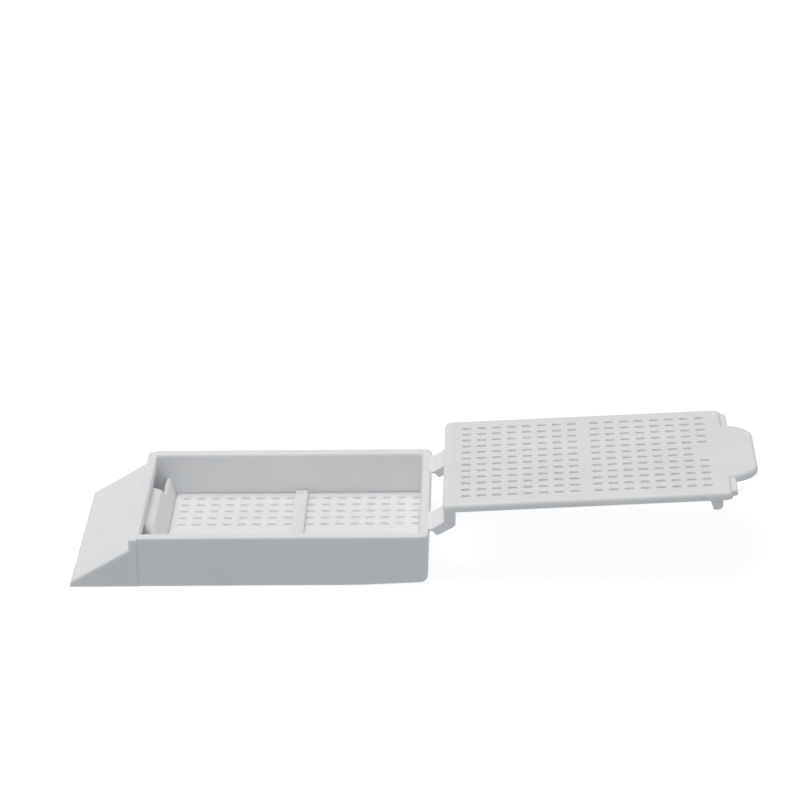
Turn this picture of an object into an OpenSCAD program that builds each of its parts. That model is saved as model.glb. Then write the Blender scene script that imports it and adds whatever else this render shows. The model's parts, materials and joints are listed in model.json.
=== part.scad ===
// Perforated tissue tray with a slanted label end and a fold-over perforated lid.
// Frame: origin at the centre of the tray's underside, +X towards the hinge end, +Z up.
// The lid is drawn open, as it is moulded.

/* [Tray] */
// Length from the label tip to the hinge end
tray_len = 41; // [38:0.5:50]
// Width across the label end's cheeks
tray_w = 28.5; // [26:0.5:36]
// Height from the underside to the rim of the side walls
tray_h = 5.95; // [5.5:0.05:8]
// How far the label end and its lip lie below that rim
rim_step = 0.15; // [0:0.01:0.3]
// Thickness of the side walls at the rim
side_t = 1.5; // [1.2:0.1:1.9]
// Thickness of the hinge-end wall at the rim
end_t = 1.1; // [0.9:0.1:1.6]
// Thickness of the floor
floor_t = 1.1; // [0.8:0.1:1.4]
// How far the outer faces lean in from rim to underside
outer_draft = 0.16; // [0:0.02:0.3]
// How far the inner faces lean in from rim to floor
inner_draft = 0.34; // [0:0.02:0.4]
// How far the side walls stand back from the cheeks
wall_inset = 0.06; // [0.02:0.01:0.15]
// Radius of the upright corners at the hinge end
corner_r = 0.9; // [0.4:0.1:1.1]
// Radius of the bottom edge at the hinge end
foot_r = 0.85; // [0.3:0.05:1]

/* [Label end] */
// Length of the slanted writing panel, seen from above
label_run = 6.8; // [5:0.1:8.5]
// Height of the blunt tip
tip_h = 0.6; // [0.4:0.1:1]
// Step from the lip down to the top of the panel
lip_step = 1.3; // [1:0.1:1.6]
// Thickness of the panel
panel_t = 1.1; // [0.8:0.1:1.4]
// How far the cheeks reach past the panel, over the side walls' ends
cheek_lap = 1; // [0.8:0.05:1.1]

/* [Front wall] */
// Thickness of the lip at the top
lip_t = 1.2; // [1:0.1:1.6]
// Height of the lip's inner face
lip_h = 1.2; // [0.9:0.1:1.4]
// Thickness of the bulkhead under the lip
bulkhead_t = 0.7; // [0.5:0.05:0.9]
// Distance from the lip's inner face to the foot of the catch wall
catch_foot = 2.2; // [1.8:0.1:2.6]
// Distance from the lip's inner face to the top edge of the catch wall
catch_top = 1; // [0.7:0.1:1.4]
// Drop of the catch wall's roof from the lip to its top edge
catch_fall = 0.34; // [0.1:0.02:0.5]
// Half the length of the catch wall that touches the lip
catch_half = 5.2; // [4:0.1:6.5]
// Length over which the catch wall leaves the lip and falls to its ends
catch_sweep = 1.9; // [1.5:0.1:5.5]
// Height of the catch wall's ends above the underside
catch_end_h = 3.1; // [2.4:0.1:3.4]
// Thickness of the catch wall's ends at the top
catch_end_t = 0.45; // [0.35:0.05:0.7]
// Length of each core opening in the floor behind the catch wall
pocket_len = 4.7; // [3:0.1:5]
// Distance from a core opening to the side wall
pocket_side = 0.4; // [0.2:0.05:1]

/* [Floor slots] */
// Length of a floor slot
slot_l = 0.95; // [0.7:0.05:1.2]
// Width of a floor slot
slot_w = 0.6; // [0.4:0.05:0.9]
// Distance between floor slots along the tray
pitch_x = 1.78; // [1.5:0.01:2]
// Distance between floor rows, which leave a plain band of two such steps in the middle
pitch_y = 2.1; // [1.6:0.05:2.4]
// Extra distance between the two halves of a row
mid_gap = 0.87; // [0.6:0.01:1.2]
// Distance from the last slot's centre to the hinge-end wall's rim
slot_margin = 0.78; // [0.75:0.01:1.5]
// Least distance from an outer row's centre line to the side wall
row_margin = 1.7; // [1:0.05:2.5]
// Width of the cross rib
rib_w = 1.5; // [0.9:0.1:1.5]
// Height of the cross rib above the floor
rib_h = 0.4; // [0.2:0.05:0.8]

/* [Lid] */
// How far the closed lid's hinge edge stands in from the tray's end
lid_setback = 0.45; // [0.3:0.05:0.8]
// How far the closed lid reaches over the lip
lid_lap = 0.35; // [0.2:0.05:1]
// How far the lid's sides stand in from the side walls' outer faces
lid_side_gap = 0.39; // [0.2:0.01:0.8]
// Thickness of the lid
lid_t = 0.95; // [0.8:0.05:1.2]
// Radius of the lid's corners
lid_corner = 0.8; // [0.4:0.1:1.5]
// Length of a lid slot
lid_slot_l = 1.05; // [0.7:0.05:1.2]
// Width of a lid slot
lid_slot_w = 0.6; // [0.4:0.05:0.9]
// Distance between lid slots along the lid
lid_pitch_x = 1.78; // [1.5:0.01:2]
// Distance between lid rows
lid_pitch_y = 2; // [1.6:0.05:2.4]
// Distance from the hinge edge to the first slot's centre
lid_margin = 2.65; // [2.2:0.05:3.2]
// Least distance from the last slot's centre to the lid's end
lid_end_margin = 2.3; // [1.5:0.1:3]
// Least distance from an outer row's centre line to the lid's side
lid_row_margin = 2.2; // [1.2:0.1:3]

/* [Finger tab and shoulders] */
// Length of the finger tab
tab_len = 3.3; // [2.5:0.1:3.4]
// Width of the finger tab at the lid's end
tab_w = 16.8; // [12:0.1:18]
// Radius of the arcs that narrow the tab
tab_r = 3.5; // [3.4:0.1:6]
// How far the shoulders stand out beyond the lid's end
shoulder_out = 0.6; // [0.45:0.05:1.2]
// Width of a shoulder
shoulder_w = 4.2; // [2.5:0.1:4.4]
// How far the shoulders lie below the lid's upper face
shoulder_sink = 0.2; // [0.1:0.05:0.35]
// Radius of the shoulders' outer corners
shoulder_r = 0.4; // [0.2:0.05:0.5]

/* [Latch legs] */
// Thickness of a latch leg along the lid
leg_t = 1.35; // [1:0.05:1.6]
// Width of a latch leg across the lid
leg_w = 2.6; // [1.5:0.1:3]
// Length of a latch leg below the lid
leg_h = 1.7; // [1.2:0.1:2.5]
// Radius of a latch leg's toe
leg_toe = 0.6; // [0.3:0.05:0.8]
// Size of a latch leg's chamfer
leg_chamfer = 0.25; // [0.1:0.05:0.4]
// Distance from the lid's end to the leg
leg_back = 1.1; // [0.9:0.1:2]
// Distance from the lid's side to the leg
leg_in = 1.6; // [1.2:0.1:2.4]

/* [Hinge] */
// Width of a strap
strap_w = 5.45; // [4:0.05:5.8]
// Distance from the centre line to a strap's inner side
strap_in = 6.45; // [4:0.05:6.7]
// Gap between the tray and the open lid
hinge_reach = 1.67; // [1.4:0.01:2]
// Height of the open lid's upper face above the rim, at the hinge edge
open_rise = 3.59; // [3.45:0.01:4]
// Tilt of the open lid, in degrees
open_tilt = 2.4; // [0:0.1:4]
// Distance from the lid's upper face down to its fold line
fold_drop = 2; // [1.8:0.01:2.1]
// Thickness of the post under the lid, along the lid
post_t = 1.38; // [1.1:0.01:1.6]
// Thickness of the thin film beside the rim
film_t = 0.25; // [0.2:0.01:0.35]
// Length of the thin film beside the rim
film_len = 0.4; // [0.35:0.01:0.5]
// Radius of the rolled film across the post
post_film_r = 0.1; // [0.06:0.01:0.12]
// Clearance at a fold
fold_gap = 0.03; // [0.02:0.01:0.06]
// Angle left open in the post below the fold, in degrees
fold_relief = 3; // [2:0.5:6]
// Depth of the strap's lowest point below the rim
strap_dip = 0.83; // [0.5:0.01:0.95]
// Distance from the tray's end to the strap's lowest point
strap_dip_x = 0.9; // [0.7:0.05:1.2]
// Height above the rim at which the strap's upper face meets the post
strap_rise = 0.9; // [0.6:0.05:1]
// Height of the strap's heel above the rim
heel_h = 0.1; // [0:0.05:0.3]
// Size of the heel's chamfer
heel_cut = 0.35; // [0.2:0.05:0.5]

/* [Hidden] */
$fn = 32;
x_hinge = tray_len / 2;
x_tip = -tray_len / 2;
x_lip = x_tip + label_run;
x_cav = x_lip + lip_t;
x_cheek = x_lip + cheek_lap;
x_bulk = x_lip + bulkhead_t;
x_cav_end = x_hinge - end_t;
end_draft = inner_draft / 2;
x_floor_end = x_cav_end - end_draft;

y_wall = tray_w / 2 - wall_inset;
y_in = y_wall - side_t;
y_floor = y_in - inner_draft;

z_end = tray_h - rim_step;
z_panel = z_end - lip_step;
z_lip = z_end - lip_h;
x_catch_foot = x_cav + catch_foot;
x_catch_top = x_cav + catch_top;
z_catch_top = z_lip - catch_fall;
// The catch wall's cavity face is one plane, and this is where it stands at the height of the ends.
catch_lean = (catch_foot - catch_top) / (z_catch_top - floor_t);
x_end_face = x_catch_foot - catch_lean * (catch_end_h - floor_t);
x_end_back = x_end_face - catch_end_t;
y_ends = catch_half + catch_sweep;
y_pocket = y_floor - pocket_side;

// As many slots as fit: cols_half in each half of a row, and rows_half on each side.
x_slot_last = x_cav_end - slot_margin;
cols_half = floor((x_slot_last - x_catch_foot - slot_margin - mid_gap + pitch_x) / pitch_x / 2);
rows_half = floor((y_floor - row_margin) / pitch_y);
x_slot_first = x_slot_last - (2 * cols_half - 1) * pitch_x - mid_gap;
x_rib = x_slot_first + (cols_half - 0.5) * pitch_x + mid_gap / 2;

x_fold = x_hinge + hinge_reach + post_film_r;
z_fold = tray_h + open_rise - fold_drop;
lid_len = x_hinge - lid_setback - x_cav + lid_lap;
lid_w = 2 * (y_wall - lid_side_gap);
lid_x0 = -post_film_r;
lid_x1 = lid_x0 + lid_len;
lid_z0 = fold_drop - lid_t;
x_film = x_hinge + film_len / 2;
z_film = tray_h - film_t / 2;
strap_mid = strap_in + strap_w / 2;
lid_run = lid_len - lid_margin - lid_end_margin - mid_gap;
lid_cols_half = floor((lid_run / lid_pitch_x + 1) / 2);
lid_x_last = lid_x0 + lid_margin + (2 * lid_cols_half - 1) * lid_pitch_x + mid_gap;
lid_rows_half = floor((lid_w / 2 - lid_row_margin) / lid_pitch_y + 0.5);
shoulder_mid = tab_w / 2 + shoulder_w / 2;
leg_mid = lid_w / 2 - leg_in - leg_w / 2;
past = 1;

// Points of an arc about c, from angle a, turning by the angle turn.
function corner(c, r, a, turn = 90, n = 8) =
    [for (i = [0 : n]) [c[0] + r * cos(a + turn * i / n), c[1] + r * sin(a + turn * i / n)]];

function rounded(x0, x1, y0, y1, r) = concat(
    corner([x1 - r, y1 - r], r, 0), corner([x0 + r, y1 - r], r, 90),
    corner([x0 + r, y0 + r], r, 180), corner([x1 - r, y0 + r], r, 270));

// A shape drawn in X and Z, made w wide about y = 0.
module across(w) {
    translate([0, w / 2, 0]) rotate([90, 0, 0]) linear_extrude(w) children();
}

// A shape drawn in Y and Z, made to run along X from x0 to x1.
module along(x0, x1) {
    translate([x0, 0, 0]) rotate([90, 0, 90]) linear_extrude(x1 - x0) children();
}

// The space between the two side walls' inner faces.
module between_sides() {
    along(x_tip - past, x_hinge + past)
        polygon([[-y_floor, -past], [y_floor, -past], [y_floor, floor_t], [y_in, tray_h],
            [y_in, tray_h + past], [-y_in, tray_h + past], [-y_in, tray_h],
            [-y_floor, floor_t]]);
}

// One side wall's section, with its outer face at y_out at the rim.
module side_section(y_out, draft) {
    polygon([[y_floor, 0], [y_out - draft, 0], [y_out, tray_h], [y_in, tray_h],
        [y_floor, floor_t]]);
}

// A field of slots: each row has a gap after its first half, and its y comes from row_y.
module slots(half, step_x, row_y, l, w) {
    for (i = [0 : 2 * half - 1], y = row_y)
        translate([i * step_x + (i >= half ? mid_gap : 0), y]) square([l, w], center = true);
}

module floor_grid() {
    color("whitesmoke") linear_extrude(floor_t) difference() {
        translate([x_bulk, -y_floor]) square([x_floor_end - x_bulk, 2 * y_floor]);
        translate([x_slot_first, 0])
            slots(cols_half, pitch_x, [for (s = [-1, 1], j = [1 : rows_half]) s * j * pitch_y],
                slot_l, slot_w);
        for (s = [-1, 1])
            translate([x_bulk - past, s > 0 ? y_pocket - pocket_len : -y_pocket])
                square([x_end_back - x_bulk + past, pocket_len]);
    }
}

module floor_rib() {
    color("white") translate([x_rib - rib_w / 2, -y_floor, floor_t])
        cube([rib_w, 2 * y_floor, rib_h]);
}

module side_wall() {
    intersection() {
        along(x_cheek, x_hinge + past) side_section(y_wall, outer_draft);
        across(tray_w + past)
            polygon(concat([[x_tip, 0]], corner([x_hinge - outer_draft - foot_r, foot_r],
                foot_r, 270), [[x_hinge, tray_h], [x_tip, tray_h]]));
        linear_extrude(tray_h)
            polygon(rounded(x_tip, x_hinge, -y_wall, y_wall, corner_r));
    }
}

module near_wall() { color("gainsboro") mirror([0, 1, 0]) side_wall(); }

module far_wall() { color("gainsboro") side_wall(); }

module hinge_wall() {
    color("lightgray") intersection() {
        across(tray_w)
            polygon(concat([[x_floor_end, 0]],
                corner([x_hinge - outer_draft - foot_r, foot_r], foot_r, 270),
                [[x_hinge, tray_h], [x_cav_end, tray_h], [x_floor_end, floor_t]]));
        between_sides();
    }
}

module front_lip() {
    color("white") intersection() {
        translate([x_lip, -tray_w / 2, z_lip]) cube([lip_t, tray_w, lip_h]);
        between_sides();
    }
}

module bulkhead() {
    color("silver") intersection() {
        translate([x_lip, -tray_w / 2, 0]) cube([bulkhead_t, tray_w, z_lip]);
        between_sides();
    }
}

// The catch wall: one leaning face towards the cavity, a short roof that meets the lip, and
// two low, thin ends that stand clear of the lip, which leaves a pocket behind each.
module catch_wall() {
    back = [[x_bulk, catch_half], [x_cav, catch_half], [x_end_back, y_ends],
        [x_end_back, y_in]];
    color("lavender") intersection() {
        linear_extrude(tray_h)
            polygon(concat(back, [[x_catch_foot, y_in], [x_catch_foot, -y_in]],
                [for (i = [len(back) - 1 : -1 : 0]) [back[i][0], -back[i][1]]]));
        across(tray_w)
            polygon([[x_bulk, floor_t], [x_catch_foot, floor_t], [x_catch_top, z_catch_top],
                [x_cav, z_lip], [x_bulk, z_lip]]);
        along(x_bulk, x_catch_foot)
            polygon([[-y_in, 0], [y_in, 0], [y_in, catch_end_h], [y_ends, catch_end_h],
                [catch_half, z_lip], [-catch_half, z_lip], [-y_ends, catch_end_h],
                [-y_in, catch_end_h]]);
        between_sides();
    }
}

// The slanted panel, of even thickness, closed at its blunt tip and hollow underneath.
module label_panel() {
    rise = z_panel - tip_h;
    drop = panel_t * norm([label_run, rise]) / label_run;
    x_under = x_tip + (drop - tip_h) * label_run / rise;
    color("white") intersection() {
        across(tray_w)
            polygon([[x_tip, 0], [x_under, 0], [x_lip, z_panel - drop], [x_lip, z_panel],
                [x_tip, tip_h]]);
        between_sides();
    }
}

module cheek() {
    intersection() {
        along(x_tip, x_cheek) side_section(tray_w / 2, outer_draft);
        across(tray_w + past)
            polygon([[x_tip, 0], [x_cheek, 0], [x_cheek, z_end], [x_lip, z_end],
                [x_lip, z_panel], [x_tip, tip_h]]);
    }
}

module near_cheek() { color("gainsboro") mirror([0, 1, 0]) cheek(); }

module far_cheek() { color("gainsboro") cheek(); }

// A strap hangs from its rim film, dips, and rises into the lower half of its post.
module strap(side) {
    post_x0 = x_fold + lid_x0;
    post_x1 = post_x0 + post_t;
    z_top = z_fold - post_film_r - fold_gap;
    color("aliceblue") translate([0, side * strap_mid, 0]) across(strap_w)
        polygon([[x_hinge + film_len, tray_h - film_t], [x_hinge + film_len, tray_h],
            [post_x0, tray_h + strap_rise], [post_x0, z_top], [post_x1, z_top],
            [post_x1, tray_h + heel_h + heel_cut], [post_x1 - heel_cut, tray_h + heel_h],
            [x_hinge + strap_dip_x, tray_h - strap_dip]]);
}

module near_strap() { strap(-1); }

module far_strap() { strap(1); }

// The film beside the rim, rolled about the first fold line.
module rim_film(side) {
    color("azure") translate([0, side * strap_mid, 0]) {
        across(strap_w) translate([x_film, z_film]) circle(film_t / 2);
        across(strap_w) translate([x_film, tray_h - film_t])
            square([film_len / 2, film_t]);
    }
}

module near_rim_film() { rim_film(-1); }

module far_rim_film() { rim_film(1); }

// The film across the post, rolled about the second fold line.
module post_film(side) {
    color("azure") translate([x_fold, side * strap_mid, z_fold]) {
        across(strap_w) circle(post_film_r);
        across(strap_w) translate([-post_film_r, -post_film_r - fold_gap])
            square([2 * post_film_r, post_film_r + fold_gap]);
    }
}

module near_post_film() { post_film(-1); }

module far_post_film() { post_film(1); }

// Places a child that is drawn flat, with the second fold line at its origin, on the open lid.
module on_lid() {
    translate([x_fold, 0, z_fold]) rotate([0, -open_tilt, 0]) children();
}

module lid_grid() {
    color("lightgray") on_lid() translate([0, 0, lid_z0]) linear_extrude(lid_t) difference() {
        polygon(rounded(lid_x0, lid_x1, -lid_w / 2, lid_w / 2, lid_corner));
        difference() {
            translate([lid_x0 + lid_margin, 0])
                slots(lid_cols_half, lid_pitch_x, [for (s = [-1, 1], j = [1 : lid_rows_half])
                    s * (j - 0.5) * lid_pitch_y], lid_slot_l, lid_slot_w);
            // the last column has no slots beside the centre line
            translate([lid_x_last - lid_pitch_x / 2, -lid_pitch_y])
                square([lid_pitch_x, 2 * lid_pitch_y]);
        }
    }
}

module finger_tab() {
    x_mid = lid_x1 + tab_len - tab_r;
    turn = acos(1 - tab_len / tab_r);
    y_mid = tab_w / 2 - tab_r * sin(turn);
    color("silver") on_lid() translate([0, 0, lid_z0]) linear_extrude(lid_t)
        polygon(concat(corner([x_mid, -y_mid], tab_r, -turn, turn),
            corner([x_mid, y_mid], tab_r, 0, turn)));
}

module shoulder(side) {
    x_end = lid_x1 + shoulder_out;
    half = shoulder_w / 2;
    color("gray") on_lid() translate([0, side * shoulder_mid, lid_z0])
        linear_extrude(lid_t - shoulder_sink)
            polygon(concat([[lid_x1, -half]], corner([x_end - shoulder_r, -half + shoulder_r],
                shoulder_r, 270), corner([x_end - shoulder_r, half - shoulder_r], shoulder_r,
                0), [[lid_x1, half]]));
}

module near_shoulder() { shoulder(-1); }

module far_shoulder() { shoulder(1); }

// A latch leg has a chamfer on its hinge side and a round toe on the other.
module latch_leg(side) {
    x0 = lid_x1 - leg_back - leg_t;
    z0 = lid_z0 - leg_h;
    color("slategray") on_lid() translate([0, side * leg_mid, 0]) across(leg_w)
        polygon(concat([[x0 - leg_chamfer, lid_z0], [x0, lid_z0 - leg_h / 2],
            [x0 + leg_chamfer, z0]], corner([x0 + leg_t - leg_toe, z0 + leg_toe], leg_toe, 270),
            [[x0 + leg_t, lid_z0]]));
}

module near_latch_leg() { latch_leg(-1); }

module far_latch_leg() { latch_leg(1); }

// The upper half of a post, above the second fold line.
module post(side) {
    z_low = post_film_r + fold_gap;
    x1 = lid_x0 + post_t;
    color("gray") on_lid() translate([0, side * strap_mid, 0]) across(strap_w)
        polygon([[lid_x0, z_low], [x1, z_low + post_t * tan(fold_relief)], [x1, lid_z0],
            [lid_x0, lid_z0]]);
}

module near_post() { post(-1); }

module far_post() { post(1); }

floor_grid();
floor_rib();
near_wall();
far_wall();
hinge_wall();
front_lip();
bulkhead();
catch_wall();
label_panel();
near_cheek();
far_cheek();
near_strap();
far_strap();
near_rim_film();
far_rim_film();
near_post_film();
far_post_film();
lid_grid();
finger_tab();
near_shoulder();
far_shoulder();
near_latch_leg();
far_latch_leg();
near_post();
far_post();
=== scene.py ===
import json
from math import acos, cos, radians, sin

import bmesh
import bpy
from mathutils import Matrix, Vector


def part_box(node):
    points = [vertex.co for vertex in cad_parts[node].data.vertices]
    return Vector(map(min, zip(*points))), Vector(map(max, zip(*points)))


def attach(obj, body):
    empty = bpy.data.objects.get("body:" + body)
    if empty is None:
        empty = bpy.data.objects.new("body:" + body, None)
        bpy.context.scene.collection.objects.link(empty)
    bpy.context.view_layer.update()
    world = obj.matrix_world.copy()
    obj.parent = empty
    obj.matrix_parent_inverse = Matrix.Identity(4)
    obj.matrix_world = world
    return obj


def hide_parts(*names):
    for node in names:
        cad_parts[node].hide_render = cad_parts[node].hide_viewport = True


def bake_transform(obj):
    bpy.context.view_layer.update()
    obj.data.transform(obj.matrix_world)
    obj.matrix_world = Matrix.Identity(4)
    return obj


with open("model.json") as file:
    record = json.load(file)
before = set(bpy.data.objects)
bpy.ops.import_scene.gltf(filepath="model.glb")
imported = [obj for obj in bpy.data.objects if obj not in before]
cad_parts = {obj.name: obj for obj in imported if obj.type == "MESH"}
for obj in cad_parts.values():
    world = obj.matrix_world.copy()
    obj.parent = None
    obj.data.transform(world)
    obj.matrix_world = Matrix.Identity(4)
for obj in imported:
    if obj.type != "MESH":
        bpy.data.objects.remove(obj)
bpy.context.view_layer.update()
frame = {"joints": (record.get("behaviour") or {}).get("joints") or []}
mm = 0.001
snug = 0.01  # how close to a face or line, in millimetres, counts as on it
weldDistance = 0.0005
cutDistance = 1e-5
flatAngle = radians(0.5)
sharpAngle = radians(40)
mostly = 0.9  # the least part of a direction along an axis, for it to count as along it
crease = radians(18)  # a bend sharper than this is an edge that can be rounded


# ---- mesh helpers: a piece is built in millimetres and becomes metres when it is finished

def cadCorners(node):
    low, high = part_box(node)
    return low / mm, high / mm


def thicken(bm, faces, step):  # extrudes faces by one step, and gives the new points
    grown = bmesh.ops.extrude_face_region(bm, geom=faces)
    moved = [v for v in grown["geom"] if isinstance(v, bmesh.types.BMVert)]
    bmesh.ops.translate(bm, vec=step, verts=moved)
    return moved


def outlineSolid(points, depth):  # a flat outline, pulled out along depth
    bm = bmesh.new()
    face = bm.faces.new([bm.verts.new(p) for p in points])
    thicken(bm, [face], depth)
    bmesh.ops.recalc_face_normals(bm, faces=bm.faces)
    return bm


def pullFaces(bm, faces, step):  # thickens, and leaves nothing of the old faces inside
    moved = thicken(bm, faces, step)
    old = [f for f in faces if f.is_valid]
    if old:
        bmesh.ops.delete(bm, geom=old, context="FACES")
    return moved


def pullEdges(bm, edges):  # extrudes open edges, and gives the new ones and their points
    grown = bmesh.ops.extrude_edge_only(bm, edges=edges)["geom"]
    fresh = {v for v in grown if isinstance(v, bmesh.types.BMVert)}
    rim = [e for e in grown if isinstance(e, bmesh.types.BMEdge) and set(e.verts) <= fresh]
    return rim, fresh


def cutAcross(bm, point, normal):
    everything = bm.verts[:] + bm.edges[:] + bm.faces[:]
    bmesh.ops.bisect_plane(bm, geom=everything, plane_co=point, plane_no=normal, dist=cutDistance)


def cutAway(bm, point, normal):  # removes what lies on the normal's side, and closes the cut
    everything = bm.verts[:] + bm.edges[:] + bm.faces[:]
    cut = bmesh.ops.bisect_plane(bm, geom=everything, plane_co=point, plane_no=normal,
                                 dist=cutDistance, clear_outer=True)
    rim = [e for e in cut["geom_cut"] if isinstance(e, bmesh.types.BMEdge)]
    bmesh.ops.holes_fill(bm, edges=rim, sides=0)


def roundEdges(bm, radius, segments, wanted, clamp=True):
    edges = [e for e in bm.edges if len(e.link_faces) == 2
             and e.calc_face_angle(0) > crease and wanted(e)]
    bmesh.ops.bevel(bm, geom=edges, offset=radius, offset_type="OFFSET", affect="EDGES",
                    segments=segments, profile=0.5, material=-1, clamp_overlap=clamp)


def bothEnds(edge, test):
    return all(test(v.co) for v in edge.verts)


def middle(edge):
    return (edge.verts[0].co + edge.verts[1].co) / 2


def upright(edge):
    a, b = edge.verts[0].co, edge.verts[1].co
    return abs(b.z - a.z) > mostly * (b - a).length


def finishPiece(name, bm, stoodFor, materials, body=None, place=None):
    bmesh.ops.remove_doubles(bm, verts=bm.verts, dist=weldDistance)
    bmesh.ops.dissolve_degenerate(bm, dist=weldDistance, edges=bm.edges)
    bmesh.ops.recalc_face_normals(bm, faces=bm.faces)
    if place:
        bmesh.ops.transform(bm, matrix=place, verts=bm.verts)
    bmesh.ops.scale(bm, vec=(mm, mm, mm), verts=bm.verts)
    for face in bm.faces:
        face.smooth = True
    for edge in bm.edges:
        edge.smooth = edge.calc_face_angle(0) < sharpAngle
    mesh = bpy.data.meshes.new(name)
    bm.to_mesh(mesh)
    bm.free()
    for material in materials:
        mesh.materials.append(material)
    piece = bpy.data.objects.new(name, mesh)
    bpy.context.scene.collection.objects.link(piece)
    shading = piece.modifiers.new("Weighted normals", "WEIGHTED_NORMAL")
    shading.keep_sharp = True
    if stoodFor:
        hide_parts(*stoodFor)
    if body:
        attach(piece, body)
    return piece


# ---- materials

def hexColour(code):
    def linear(channel):
        value = int(code[channel:channel + 2], 16) / 255
        return value / 12.92 if value <= 0.04045 else ((value + 0.055) / 1.055) ** 2.4
    return (linear(0), linear(2), linear(4), 1)


def addNode(tree, kind, settings=None, links=None):
    node = tree.nodes.new(kind)
    for key, value in (settings or {}).items():
        if key in node.inputs:
            node.inputs[key].default_value = value
        else:
            setattr(node, key, value)
    for key, source in (links or {}).items():
        tree.links.new(source, node.inputs[key])
    return node


def mouldedAcetal(name, spec):
    material = bpy.data.materials.new(name)
    material.use_nodes = True
    tree = material.node_tree
    tree.nodes.clear()
    where = addNode(tree, "ShaderNodeTexCoord").outputs["Object"]
    # slow cloudiness, as the melt cooled unevenly
    cloud = addNode(tree, "ShaderNodeTexNoise",
                    {"Scale": 1 / (spec["cloudSize"] * mm), "Detail": 2}, {"Vector": where})
    # the grain that spark erosion left in the mould
    grain = addNode(tree, "ShaderNodeTexNoise",
                    {"Scale": 1 / (spec["grainSize"] * mm), "Detail": 3, "Roughness": 0.6},
                    {"Vector": where})
    tone = addNode(tree, "ShaderNodeValToRGB", None, {"Fac": cloud.outputs["Fac"]})
    tone.color_ramp.elements[0].position = 0.3
    tone.color_ramp.elements[0].color = hexColour(spec["shadeColour"])
    tone.color_ramp.elements[1].position = 0.7
    tone.color_ramp.elements[1].color = hexColour(spec["colour"])
    gloss = addNode(tree, "ShaderNodeMapRange",
                    {"From Min": 0.3, "From Max": 0.7,
                     "To Min": spec["roughness"] - spec["roughnessSpread"],
                     "To Max": spec["roughness"] + spec["roughnessSpread"]},
                    {"Value": grain.outputs["Fac"]})
    relief = addNode(tree, "ShaderNodeBump",
                     {"Strength": spec["grainStrength"], "Distance": spec["grainDepth"] * mm},
                     {"Height": grain.outputs["Fac"]})
    surface = addNode(tree, "ShaderNodeBsdfPrincipled",
                      {"IOR": spec["bending"], "Subsurface Weight": spec["glow"],
                       "Subsurface Scale": spec["glowDepth"] * mm,
                       "Subsurface Radius": spec["glowSpread"]},
                      {"Base Color": tone.outputs["Color"], "Roughness": gloss.outputs["Result"],
                       "Normal": relief.outputs["Normal"]})
    addNode(tree, "ShaderNodeOutputMaterial", None, {"Surface": surface.outputs["BSDF"]})
    return material


# White acetal straight from a spark-eroded mould: an even milky white with a soft, dull sheen.
acetal = {"colour": "F5F5F5", "shadeColour": "F0F1F2", "roughness": 0.46, "roughnessSpread": 0.06,
          "cloudSize": 9.0, "grainSize": 0.22, "grainStrength": 0.35, "grainDepth": 0.02,
          "glow": 0.5, "glowDepth": 0.3, "glowSpread": (1.0, 0.95, 0.9), "bending": 1.48}
whiteAcetal = mouldedAcetal("white acetal, moulded, fine matt", acetal)
# The thin members let more light through, so they look softer; their colour is also painted a little
# lighter than the tray's, painted light for the light that comes up through them.
thinAcetalPaintedLighter = mouldedAcetal("white acetal, moulded thin", acetal | {
    "glow": 1.0, "glowDepth": 0.7, "colour": "FAFAFA", "shadeColour": "F7F7F8"})
# Where two members meet at a fold, little light crosses from one to the other.
strapAcetal = mouldedAcetal("white acetal, moulded strap", acetal | {
    "glow": 0.4, "glowDepth": 0.12, "colour": "FAFAFA", "shadeColour": "F7F7F8"})
# The lid is a shade warmer than the tray, and its edges let light through.
lidAcetal = mouldedAcetal("white acetal, moulded plate", acetal | {
    "glow": 0.8, "glowDepth": 0.45, "colour": "F2F2F1", "shadeColour": "EDEDEC"})
# The writing panel has a coarser bite, so that pencil and printer ink hold.
writingAcetal = mouldedAcetal("white acetal, textured writing face", acetal | {
    "roughness": 0.6, "grainSize": 0.3, "grainStrength": 0.6, "grainDepth": 0.03, "colour": "F6F7F6"})
print("materials made")


# ---- tray

tray = {"rimEnd": 1.1, "outerDraft": 0.16, "cornerRadius": 0.9, "innerCorner": 0.45,
        "outerRim": 0.3, "innerRim": 0.38, "footRadius": 0.85, "sideFoot": 0.08,
        "footFrom": 1.2, "wallReach": 0.5, "seamReach": 1.0, "rimReach": 0.2}


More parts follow.
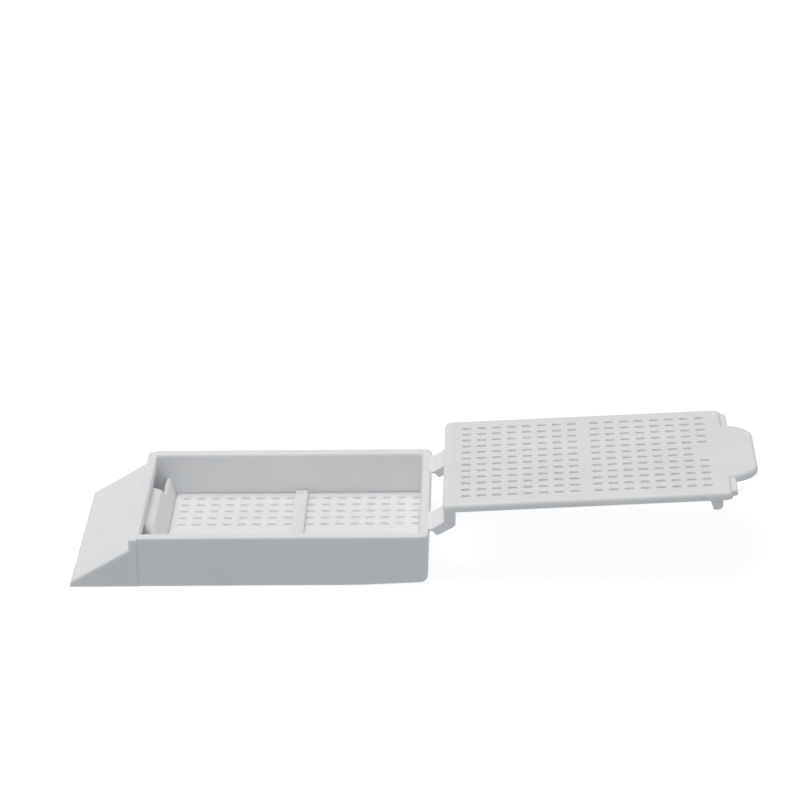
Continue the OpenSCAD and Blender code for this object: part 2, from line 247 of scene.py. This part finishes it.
def makeTrayWalls(spec):
    near, far = cadCorners("near_wall")[0], cadCorners("far_wall")[1]
    ySideIn = cadCorners("hinge_wall")[1].y
    yFloor = cadCorners("floor_grid")[1].y
    xFloorEnd = cadCorners("hinge_wall")[0].x
    zFloor = cadCorners("floor_rib")[0].z
    xSeam, xEnd, yOut, top = near.x, far.x, far.y, far.z
    xCavity = xEnd - spec["rimEnd"]
    outline = [(xSeam, -yOut), (xEnd, -yOut), (xEnd, yOut), (xSeam, yOut),
               (xSeam, ySideIn), (xCavity, ySideIn), (xCavity, -ySideIn), (xSeam, -ySideIn)]
    bm = outlineSolid([(x, y, top) for x, y in outline], (0, 0, zFloor - top))

    def lean(share, onlyOuter):
        for v in bm.verts:
            if v.co.z > zFloor + snug - zFloor * onlyOuter:
                continue
            outer = abs(v.co.y) > (ySideIn + yOut) / 2 or v.co.x > (xCavity + xEnd) / 2
            if outer:
                v.co.y -= spec["outerDraft"] * share * (1 if v.co.y > 0 else -1)
                if v.co.x > xSeam + spec["seamReach"]:
                    v.co.x -= spec["outerDraft"] * share
            elif not onlyOuter:
                v.co.y = yFloor * (1 if v.co.y > 0 else -1)
                if v.co.x > xSeam + spec["seamReach"]:
                    v.co.x = xFloorEnd

    lean(1 - zFloor / top, 0)
    under = [f for f in bm.faces if abs(f.calc_center_median().z - zFloor) < snug]
    pullFaces(bm, under, (0, 0, -zFloor))
    lean(zFloor / top, 1)
    reach = spec["rimReach"]
    yWall = ySideIn + spec["wallReach"]
    xFoot = max(xEnd - spec["footFrom"], xFloorEnd + reach)
    yRim = max(yOut - spec["cornerRadius"] - reach / 2, ySideIn + reach)
    roundEdges(bm, spec["cornerRadius"], 8, lambda e: upright(e) and bothEnds(
        e, lambda p: p.x > xEnd - spec["wallReach"] and abs(p.y) > yWall))
    roundEdges(bm, spec["innerCorner"], 5, lambda e: upright(e) and bothEnds(
        e, lambda p: xSeam + spec["seamReach"] < p.x < xCavity + reach / 2
        and abs(p.y) < ySideIn + reach / 2))
    roundEdges(bm, spec["footRadius"], 6, lambda e: bothEnds(e, lambda p: p.z < snug and p.x > xFoot))
    roundEdges(bm, spec["outerRim"], 4, lambda e: bothEnds(
        e, lambda p: p.z > top - snug and (abs(p.y) > yRim or p.x > xCavity + spec["outerRim"])))
    roundEdges(bm, spec["innerRim"], 4, lambda e: bothEnds(
        e, lambda p: p.z > top - snug and abs(p.y) < ySideIn + snug and p.x < xCavity + snug)
        and not bothEnds(e, lambda p: p.x < xSeam + snug))
    roundEdges(bm, spec["sideFoot"], 2, lambda e: bothEnds(
        e, lambda p: p.z < snug and abs(p.y) > yWall))
    return finishPiece("trayWalls", bm, ["near_wall", "far_wall", "hinge_wall"],
                       [whiteAcetal], "tray")


labelEnd = {"lipStep": 1.3, "tipHeight": 0.6, "panelThick": 1.1, "outerDraft": 0.16,
            "edgeRadius": 0.34, "underFloor": 0.05, "writingArea": 5}


def makeLabelEnd(spec):
    low, high = cadCorners("far_cheek")
    lipLow, lipHigh = cadCorners("front_lip")
    xBulk = cadCorners("bulkhead")[1].x
    zFloor = cadCorners("floor_rib")[0].z
    yFloor = cadCorners("floor_grid")[1].y
    xTip, xSeam, yOut, top = low.x, high.x, high.y, high.z
    xLip, xCavity, zLip, yIn = lipLow.x, lipHigh.x, lipLow.z, lipHigh.y
    zPanel = top - spec["lipStep"]
    rise, run = zPanel - spec["tipHeight"], xLip - xTip
    drop = spec["panelThick"] * Vector((rise, run)).length / run
    xUnder = xTip + (drop - spec["tipHeight"]) * run / rise
    outline = [(xTip, 0), (xSeam, 0), (xSeam, top), (xLip, top), (xLip, zPanel),
               (xTip, spec["tipHeight"])]
    bm = outlineSolid([(x, -yOut, z) for x, z in outline], (0, 2 * yOut, 0))
    for v in bm.verts:
        v.co.y -= spec["outerDraft"] * (1 - v.co.z / top) * (1 if v.co.y > 0 else -1)
    for side in (-1, 1):
        cutAcross(bm, (0, side * yIn, top), (0, side * (top - zFloor), yFloor - yIn))
    cutAcross(bm, (0, 0, zLip), (0, 0, 1))
    cutAcross(bm, (0, 0, zFloor - spec["underFloor"]), (0, 0, 1))
    cutAcross(bm, (xLip, 0, 0), (1, 0, 0))
    cutAcross(bm, (xUnder, 0, 0), (1, 0, 0))

    def facesWhere(test):
        return [f for f in bm.faces if test(f.calc_center_median(), f.normal)]

    bm.normal_update()
    # the bulkhead stands back from the seam, and the lip above it reaches forward
    middleBack = facesWhere(lambda c, n: n.x > mostly and c.x > xSeam - snug and abs(c.y) < yFloor
                            and zFloor < c.z < zLip)
    pullFaces(bm, middleBack, (xBulk - xSeam, 0, 0))
    bm.normal_update()
    upper = facesWhere(lambda c, n: n.x > mostly and c.x > xSeam - snug and c.z > zLip
                       and abs(c.y) < yFloor)
    pullFaces(bm, upper, (xCavity - xSeam, 0, 0))
    bm.normal_update()
    # the hollow under the panel, which follows its slope
    under = facesWhere(lambda c, n: n.z < -mostly and c.z < snug and xUnder < c.x < xLip
                       and abs(c.y) < yFloor)
    for v in pullFaces(bm, under, (0, 0, 0)):
        if v.co.x > xLip - snug:
            v.co.z = zPanel - drop
    bmesh.ops.remove_doubles(bm, verts=bm.verts, dist=weldDistance)
    bmesh.ops.recalc_face_normals(bm, faces=bm.faces)
    bmesh.ops.dissolve_limit(bm, angle_limit=flatAngle, verts=bm.verts, edges=bm.edges)

    def onRim(e):  # not where the side walls carry on
        return (bothEnds(e, lambda p: p.z > top - snug)
                and not bothEnds(e, lambda p: xSeam - snug < p.x < xCavity - snug)
                and not (abs(middle(e).y) < yIn + snug and xSeam < middle(e).x < xCavity - snug))

    def onSlope(e):
        return e.is_convex and bothEnds(e, lambda p: p.x < xSeam - snug and p.z > snug
                                        and (abs(p.y) > yIn or p.x < xTip + snug))

    roundEdges(bm, spec["edgeRadius"], 4, lambda e: onRim(e) or onSlope(e), clamp=False)
    bm.normal_update()
    for f in bm.faces:
        if f.normal.z > 0.5 and f.normal.x < -0.3 and f.calc_area() > spec["writingArea"]:
            f.material_index = 1
    return finishPiece("labelEnd", bm,
                       ["near_cheek", "far_cheek", "label_panel", "front_lip", "bulkhead"],
                       [whiteAcetal, writingAcetal], "tray")


# ---- perforated plates

undersideShare = 0.6  # a slot's lower edge is sharper than its upper one


def plateGrid(low, high, xLines, yLines):
    bm = bmesh.new()
    bmesh.ops.create_grid(bm, x_segments=1, y_segments=1, size=0.5)
    bmesh.ops.scale(bm, vec=(high.x - low.x, high.y - low.y, 1), verts=bm.verts)
    bmesh.ops.translate(bm, vec=((low.x + high.x) / 2, (low.y + high.y) / 2, high.z), verts=bm.verts)
    for x in xLines:
        cutAcross(bm, (x, 0, 0), (1, 0, 0))
    for y in yLines:
        cutAcross(bm, (0, y, 0), (0, 1, 0))
    return bm


def slotCentres(spec, xFirst):
    across = [side * (spec["firstRow"] + j) * spec["pitchY"] for side in (-1, 1)
              for j in range(spec["halfRows"])]
    along = [xFirst + i * spec["pitchX"] + (spec["midGap"] if i >= spec["halfCols"] else 0)
             for i in range(2 * spec["halfCols"])]
    return along, across


def edgesOf(centres, width):
    return [c + side * width / 2 for c in centres for side in (-1, 1)]


def inAny(value, centres, width):
    return any(abs(value - c) < width / 2 for c in centres)


floorSlots = {"slotLength": 0.95, "slotWidth": 0.6, "halfCols": 8, "halfRows": 5, "firstRow": 1,
              "pitchX": 1.78, "pitchY": 2.1, "midGap": 0.87, "lastFromRim": 0.78,
              "slotCorner": 0.14, "slotEdge": 0.07, "pocketFrom": 7.25, "pocketTo": 11.95,
              "pocketWidth": 0.8, "pocketBack": 0.05}


def makeFloorGrid(spec):
    low, high = cadCorners("floor_grid")
    xSeam = cadCorners("near_wall")[0].x
    xCavity = cadCorners("hinge_wall")[1].x - tray["rimEnd"]
    xFirst = (xCavity - spec["lastFromRim"] - (2 * spec["halfCols"] - 1) * spec["pitchX"]
              - spec["midGap"])
    along, across = slotCentres(spec, xFirst)
    low.x = xSeam
    xPocket = xSeam + spec["pocketBack"]
    pocketX = [xPocket, xPocket + spec["pocketWidth"]]
    pocketY = [side * y for side in (-1, 1) for y in (spec["pocketFrom"], spec["pocketTo"])]
    bm = plateGrid(low, high, pocketX + edgesOf(along, spec["slotLength"]),
                   pocketY + edgesOf(across, spec["slotWidth"]))
    open_ = []
    for f in bm.faces:
        c = f.calc_center_median()
        slot = inAny(c.x, along, spec["slotLength"]) and inAny(c.y, across, spec["slotWidth"])
        pocket = (pocketX[0] < c.x < pocketX[1]
                  and spec["pocketFrom"] < abs(c.y) < spec["pocketTo"])
        if slot or pocket:
            open_.append(f)
    bmesh.ops.delete(bm, geom=open_, context="FACES")
    solidPlate(bm, low, high, spec)
    # the floor takes the thin acetal, whose colour is painted lighter for the light that comes up
    # through it
    return finishPiece("floorGrid", bm, ["floor_grid"], [thinAcetalPaintedLighter], "tray")


def solidPlate(bm, low, high, spec):  # gives the sheet its thickness and softens its slots
    thicken(bm, bm.faces[:], (0, 0, low.z - high.z))
    bmesh.ops.recalc_face_normals(bm, faces=bm.faces)

    def inside(p):
        return low.x + snug < p.x < high.x - snug and low.y + snug < p.y < high.y - snug

    roundEdges(bm, spec["slotCorner"], 2, lambda e: upright(e) and bothEnds(e, inside))
    roundEdges(bm, spec["slotEdge"], 2, lambda e: not upright(e) and bothEnds(
        e, lambda p: inside(p) and p.z > high.z - snug))
    roundEdges(bm, spec["slotEdge"] * undersideShare, 1, lambda e: not upright(e) and bothEnds(
        e, lambda p: inside(p) and p.z < low.z + snug))


rib = {"edgeRadius": 0.12, "sink": 0.05}


def makeFloorRib(spec):
    low, high = cadCorners("floor_rib")
    z = low.z - spec["sink"]
    bm = outlineSolid([(low.x, low.y, z), (high.x, low.y, z), (high.x, low.y, high.z),
                       (low.x, low.y, high.z)], (0, high.y - low.y, 0))
    roundEdges(bm, spec["edgeRadius"], 3, lambda e: bothEnds(e, lambda p: p.z > high.z - snug)
               and abs(middle(e).y) < high.y - snug)
    # the rib takes the thin acetal, whose colour is painted lighter for the light that comes up
    # through the floor
    return finishPiece("floorRib", bm, ["floor_rib"], [thinAcetalPaintedLighter], "tray")


catch = {"topBack": 1.0, "topHeight": 1.54, "backDrop": 1.22, "backInset": 0.1, "flatHalf": 5.2,
         "sweep": 1.9, "endHeight": 3.1, "endThick": 0.45, "endRoot": 0.2, "sink": 0.05, "steps": 12,
         "edgeRadius": 0.24, "footClear": 0.5}


def makeCatchWall(spec):
    low, high = cadCorners("catch_wall")
    top = cadCorners("front_lip")[1].z
    xCavity = cadCorners("front_lip")[1].x
    yEnd = cadCorners("floor_grid")[1].y + spec["endRoot"]
    xTop = xCavity + spec["topBack"]
    zTop = top - spec["topHeight"]
    slope = (high.x - xTop) / (zTop - low.z)
    foot = low.z - spec["sink"]

    def station(y):  # foot, top edge, back edge and back foot of the section at y
        t = min(1, max(0, (abs(y) - spec["flatHalf"]) / spec["sweep"]))
        fall = t * t * (3 - 2 * t)
        z = zTop + (spec["endHeight"] - zTop) * fall
        x = high.x - slope * (z - low.z)
        xBack = (low.x + spec["backInset"]) * (1 - fall) + (x - spec["endThick"]) * fall
        zBack = (top - spec["backDrop"]) * (1 - fall) + z * fall
        xFoot = high.x + slope * spec["sink"]
        return [(xFoot, y, foot), (x, y, z), (xBack, y, zBack), (xBack, y, foot)]

    farHalf = [spec["flatHalf"] + spec["sweep"] * i / spec["steps"]
               for i in range(spec["steps"] + 1)]
    farHalf.append(yEnd)
    nearHalf = [-y for y in reversed(farHalf)]
    bm = bmesh.new()
    nearEnd = bm.faces.new([bm.verts.new(p) for p in station(-yEnd)])
    face = nearEnd
    for y in nearHalf[1:] + farHalf:
        grown = bmesh.ops.extrude_face_region(bm, geom=[face])["geom"]
        if face != nearEnd and face.is_valid:
            bmesh.ops.delete(bm, geom=[face], context="FACES_ONLY")
        face = [g for g in grown if isinstance(g, bmesh.types.BMFace)][0]
        for v, p in zip(face.verts, station(y)):
            v.co = p
    bmesh.ops.recalc_face_normals(bm, faces=bm.faces)
    bmesh.ops.dissolve_limit(bm, angle_limit=flatAngle, verts=bm.verts, edges=bm.edges)
    roundEdges(bm, spec["edgeRadius"], 3, lambda e: abs(e.verts[0].co.y - e.verts[1].co.y) > 0.1
               and bothEnds(e, lambda p: p.z > low.z + spec["footClear"]))
    # the catch wall takes the thin acetal, whose colour is painted lighter for the light in the
    # cavity
    return finishPiece("catchWall", bm, ["catch_wall"], [thinAcetalPaintedLighter], "tray")


makeTrayWalls(tray)
makeLabelEnd(labelEnd)
makeFloorGrid(floorSlots)
makeFloorRib(rib)
makeCatchWall(catch)
print("tray made")


# ---- lid, built flat about its fold line and then laid on it

lid = {"tilt": 2.4, "foldRadius": 0.1, "foldDrop": 2.0, "thick": 0.95, "length": 32.9, "width": 27.6,
       "cornerRadius": 0.8, "cornerClear": 0.05, "upperRadius": 0.56, "lowerRadius": 0.22,
       "tabLength": 3.3, "tabWidth": 16.8, "tabRadius": 3.5, "tabSteps": 10,
       "slotLength": 1.05, "slotWidth": 0.6, "halfCols": 8, "halfRows": 6, "firstRow": 0.5,
       "pitchX": 1.78, "pitchY": 2.0, "midGap": 0.87, "firstFromEdge": 2.65,
       "slotCorner": 0.14, "slotEdge": 0.07}
foldJoint = [j for j in frame["joints"] if j["name"] == "lid_fold"][0]
lidEnd = lid["length"] - lid["foldRadius"]
lidUnder = lid["foldDrop"] - lid["thick"]
foldLine = Vector(foldJoint["pos_m"]) / mm
onLid = Matrix.Translation(foldLine) @ Matrix.Rotation(-radians(lid["tilt"]), 4, "Y")


def makeLidPlate(spec):
    x0 = -spec["foldRadius"]
    low = Vector((x0, -spec["width"] / 2, lidUnder))
    high = Vector((x0 + spec["length"], spec["width"] / 2, spec["foldDrop"]))
    along, across = slotCentres(spec, x0 + spec["firstFromEdge"])
    bm = plateGrid(low, high, edgesOf(along, spec["slotLength"]),
                   edgesOf([0], spec["tabWidth"]) + edgesOf(across, spec["slotWidth"]))
    open_ = []
    for f in bm.faces:
        c = f.calc_center_median()
        absent = c.x > along[-1] - spec["slotLength"] and abs(c.y) < spec["pitchY"]
        if (inAny(c.x, along, spec["slotLength"]) and inAny(c.y, across, spec["slotWidth"])
                and not absent):
            open_.append(f)
    bmesh.ops.delete(bm, geom=open_, context="FACES")
    halfTab = spec["tabWidth"] / 2
    tabRim = [e for e in bm.edges if bothEnds(e, lambda p: p.x > high.x - snug)
              and abs(middle(e).y) < halfTab]
    tabTurn = acos(1 - spec["tabLength"] / spec["tabRadius"])
    arcMiddle = halfTab - spec["tabRadius"] * sin(tabTurn)
    for i in range(1, spec["tabSteps"] + 1):  # the tab narrows along two arcs as it is pulled out
        turn = tabTurn * (1 - i / spec["tabSteps"])
        x = high.x + spec["tabLength"] - spec["tabRadius"] * (1 - cos(turn))
        half = arcMiddle + spec["tabRadius"] * sin(turn)
        tabRim, fresh = pullEdges(bm, tabRim)
        outer = max(abs(v.co.y) for v in fresh)
        for v in fresh:
            v.co = Vector((x, v.co.y * half / outer, v.co.z))
    inTab = [e for e in bm.edges if len(e.link_faces) == 2 and middle(e).x > high.x + snug]
    bmesh.ops.dissolve_edges(bm, edges=inTab, use_verts=False)  # leaves room to round the tab's rim
    thicken(bm, bm.faces[:], (0, 0, -spec["thick"]))
    bmesh.ops.recalc_face_normals(bm, faces=bm.faces)

    def inPlate(p):  # clear of the rim and its round corners
        rim = spec["cornerRadius"] + spec["cornerClear"]
        return low.x + rim < p.x < high.x - rim and abs(p.y) < high.y - rim

    roundEdges(bm, spec["slotCorner"], 2, lambda e: upright(e) and bothEnds(e, inPlate))
    roundEdges(bm, spec["cornerRadius"], 6, lambda e: upright(e) and bothEnds(
        e, lambda p: abs(p.y) > high.y - snug))
    roundEdges(bm, spec["slotEdge"], 2, lambda e: not upright(e) and bothEnds(
        e, lambda p: inPlate(p) and p.z > high.z - snug))
    roundEdges(bm, spec["slotEdge"] * undersideShare, 1, lambda e: not upright(e) and bothEnds(
        e, lambda p: inPlate(p) and p.z < low.z + snug))
    roundEdges(bm, spec["upperRadius"], 5, lambda e: not upright(e) and bothEnds(
        e, lambda p: not inPlate(p) and p.z > high.z - snug), clamp=False)
    roundEdges(bm, spec["lowerRadius"], 3, lambda e: not upright(e) and bothEnds(
        e, lambda p: not inPlate(p) and p.z < low.z + snug), clamp=False)
    return finishPiece("lidPlate", bm, ["lid_grid", "finger_tab"], [lidAcetal], "lid",
                       onLid)


shoulder = {"out": 0.6, "width": 4.2, "sink": 0.2, "cornerRadius": 0.4, "edgeRadius": 0.18,
            "root": 0.6, "lift": 0.03}


def makeShoulder(spec, name, side):
    x0 = lidEnd - spec["root"]
    x1 = lidEnd + spec["out"]
    yMid = side * (lid["tabWidth"] + spec["width"]) / 2
    z0 = lidUnder + spec["lift"]
    z1 = lid["foldDrop"] - spec["sink"]
    half = spec["width"] / 2
    bm = outlineSolid([(x0, yMid - half, z0), (x1, yMid - half, z0), (x1, yMid + half, z0),
                       (x0, yMid + half, z0)], (0, 0, z1 - z0))
    roundEdges(bm, spec["cornerRadius"], 5, lambda e: upright(e) and middle(e).x > x1 - snug)
    roundEdges(bm, spec["edgeRadius"], 3, lambda e: not upright(e) and middle(e).x > x0 + snug)
    return finishPiece(name + "Shoulder", bm, [name + "_shoulder"], [lidAcetal], "lid",
                       onLid)


latchLeg = {"thick": 1.35, "width": 2.6, "height": 1.7, "fromEnd": 1.1, "fromSide": 1.6,
            "root": 0.3, "toeRadius": 0.6, "chamfer": 0.25, "edgeRadius": 0.12, "topClear": 0.1}


def makeLatchLeg(spec, name, side):
    x1 = lidEnd - spec["fromEnd"]
    x0 = x1 - spec["thick"]
    zToe = lidUnder - spec["height"]
    zTop = lidUnder + spec["root"]
    yMid = side * (lid["width"] / 2 - spec["fromSide"] - spec["width"] / 2)
    y0 = yMid - spec["width"] / 2
    cut = spec["chamfer"]
    bm = outlineSolid([(x0 - cut, y0, zTop), (x0 - cut, y0, lidUnder - snug),
                       (x0, y0, lidUnder - spec["height"] / 2), (x0 + cut, y0, zToe),
                       (x1, y0, zToe), (x1, y0, zTop)], (0, spec["width"], 0))
    roundEdges(bm, spec["toeRadius"], 6, lambda e: bothEnds(
        e, lambda p: p.x > x1 - snug and p.z < zToe + snug))
    roundEdges(bm, spec["edgeRadius"], 3, lambda e: middle(e).z < zTop - spec["topClear"])
    return finishPiece(name + "LatchLeg", bm, [name + "_latch_leg"], [lidAcetal],
                       "lid", onLid)


makeLidPlate(lid)
for name, side in (("near", -1), ("far", 1)):
    makeShoulder(shoulder, name, side)
    makeLatchLeg(latchLeg, name, side)
print("lid made")


# ---- straps: each is one bent strip with its post, cut at its two folds

strap = {"post": 1.38, "filmLength": 0.4, "filmThick": 0.25, "dip": 0.83, "dipFromWall": 0.9,
         "rise": 0.9, "heelHeight": 0.1, "heelCut": 0.35, "edgeRadius": 0.12, "filmRadius": 0.08,
         "bendHalf": 0.3, "bendSteps": 8, "rimRoot": 0.32, "inset": 0.03, "postRoot": 0.4,
         "filmClear": 0.05}


def strapStrip(spec, side):
    low, high = cadCorners("far_strap")
    width = high.y - low.y
    yMid = side * (low.y + high.y) / 2
    y0 = yMid - width / 2
    top = cadCorners("far_wall")[1].z
    xWall = cadCorners("far_wall")[1].x
    xFilm = xWall + spec["filmLength"]
    x0 = foldLine.x - lid["foldRadius"] + spec["inset"]
    x1 = x0 + spec["post"] - spec["inset"]
    zPost = foldLine.z + lidUnder + spec["postRoot"]
    heel = top + spec["heelHeight"]
    xRoot = xWall - spec["rimRoot"]
    outline = [(xRoot, top - spec["filmThick"]), (xRoot, top), (xFilm, top),
               (x0, top + spec["rise"]), (x0, zPost), (x1, zPost),
               (x1, heel + spec["heelCut"]), (x1 - spec["heelCut"], heel),
               (xWall + spec["dipFromWall"], top - spec["dip"]), (xFilm, top - spec["filmThick"])]
    bm = outlineSolid([(x, y0, z) for x, z in outline], (0, width, 0))
    roundEdges(bm, spec["edgeRadius"], 3, lambda e: e.is_convex
               and middle(e).x > xFilm + spec["filmClear"] and middle(e).z < zPost - snug)
    roundEdges(bm, spec["filmRadius"], 2, lambda e: middle(e).z > top - snug
               and abs(middle(e).y - yMid) > width / 2 - snug and middle(e).x < xFilm)
    return bm, xWall, xFilm


def makeStrap(spec, name, side):
    half = spec["bendHalf"]
    low, high = foldLine.z - half, foldLine.z + half
    # the film beside the rim, which bends from the tray to the strap
    bm, xWall, xFilm = strapStrip(spec, side)
    cutAway(bm, (xFilm, 0, 0), (1, 0, 0))
    for i in range(1, spec["bendSteps"]):
        cutAcross(bm, (xWall + (xFilm - xWall) * i / spec["bendSteps"], 0, 0), (1, 0, 0))
    film = finishPiece(name + "RimFilm", bm, [name + "_rim_film"], [strapAcetal])
    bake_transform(film)
    # the strap and its post, which bends where the fold line crosses it
    bm = strapStrip(spec, side)[0]
    cutAway(bm, (xFilm, 0, 0), (-1, 0, 0))
    for i in range(spec["bendSteps"] + 1):
        cutAcross(bm, (0, 0, low + (high - low) * i / spec["bendSteps"]), (0, 0, 1))
    bent = finishPiece(name + "Strap", bm,
                       [name + "_strap", name + "_post_film", name + "_post"], [strapAcetal])
    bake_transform(bent)


for name, side in (("near", -1), ("far", 1)):
    makeStrap(strap, name, side)
print("straps made")


# ---- stage, lights and camera

# sizes and places here are in metres
studio = {"tableSize": 1.6, "tableColour": "8A8A8A", "tableRoughness": 0.9, "tableGlow": 0.85,
          "worldColour": "EDF3FA", "worldStrength": 0.46, "keyPower": 3.05, "keySize": 0.6,
          "keyColour": "FFFAF1", "keyPlace": (-0.16, 0.1, 0.73), "keyAim": (0.015, 0, 0)}


def makeStudio(spec):
    bm = bmesh.new()
    bmesh.ops.create_grid(bm, x_segments=1, y_segments=1, size=spec["tableSize"] / 2)
    mesh = bpy.data.meshes.new("lightTable")
    bm.to_mesh(mesh)
    bm.free()
    table = bpy.data.objects.new("lightTable", mesh)
    bpy.context.scene.collection.objects.link(table)
    # opal acrylic lit from below, which keeps the shadows pale
    opal = bpy.data.materials.new("opal acrylic light table")
    opal.use_nodes = True
    surface = opal.node_tree.nodes["Principled BSDF"]
    surface.inputs["Base Color"].default_value = hexColour(spec["tableColour"])
    surface.inputs["Roughness"].default_value = spec["tableRoughness"]
    surface.inputs["Emission Color"].default_value = (1, 1, 1, 1)
    surface.inputs["Emission Strength"].default_value = spec["tableGlow"]
    mesh.materials.append(opal)
    table.visible_diffuse = False  # its glow doesn't flood the walls
    world = bpy.data.worlds.new("studio")
    world.use_nodes = True
    sky = world.node_tree.nodes["Background"]
    sky.inputs["Color"].default_value = hexColour(spec["worldColour"])
    sky.inputs["Strength"].default_value = spec["worldStrength"]
    bpy.context.scene.world = world
    lamp = bpy.data.lights.new("softbox", "AREA")
    lamp.shape = "RECTANGLE"
    lamp.size = spec["keySize"]
    lamp.size_y = spec["keySize"]
    lamp.energy = spec["keyPower"]
    lamp.color = hexColour(spec["keyColour"])[:3]
    softbox = bpy.data.objects.new("softbox", lamp)
    bpy.context.scene.collection.objects.link(softbox)
    place, aim = Vector(spec["keyPlace"]), Vector(spec["keyAim"])
    turn = (aim - place).to_track_quat("-Z", "Y").to_matrix().to_4x4()
    softbox.matrix_world = Matrix.Translation(place) @ turn


camera = {"place": (28.84, -410.41, 165.71), "turn": -1.635, "down": 19.873, "roll": -0.958,
          "lens": 169.6, "sensor": 36, "nearest": 0.01, "farthest": 10}


def makeCamera(spec):
    lens = bpy.data.cameras.new("camera")
    lens.sensor_fit = "HORIZONTAL"
    lens.sensor_width = spec["sensor"]
    lens.lens = spec["lens"]
    lens.clip_start = spec["nearest"]
    lens.clip_end = spec["farthest"]
    view = bpy.data.objects.new("camera", lens)
    bpy.context.scene.collection.objects.link(view)
    turn, down = radians(spec["turn"]), radians(spec["down"])
    forward = Vector((sin(turn) * cos(down), cos(turn) * cos(down), -sin(down)))
    aim = forward.to_track_quat("-Z", "Y").to_matrix().to_4x4()
    view.matrix_world = (Matrix.Translation(Vector(spec["place"]) * mm) @ aim
                         @ Matrix.Rotation(radians(spec["roll"]), 4, "Z"))
    bpy.context.scene.camera = view


makeStudio(studio)
makeCamera(camera)
bpy.context.scene.view_settings.view_transform = "Standard"
print("studio made")
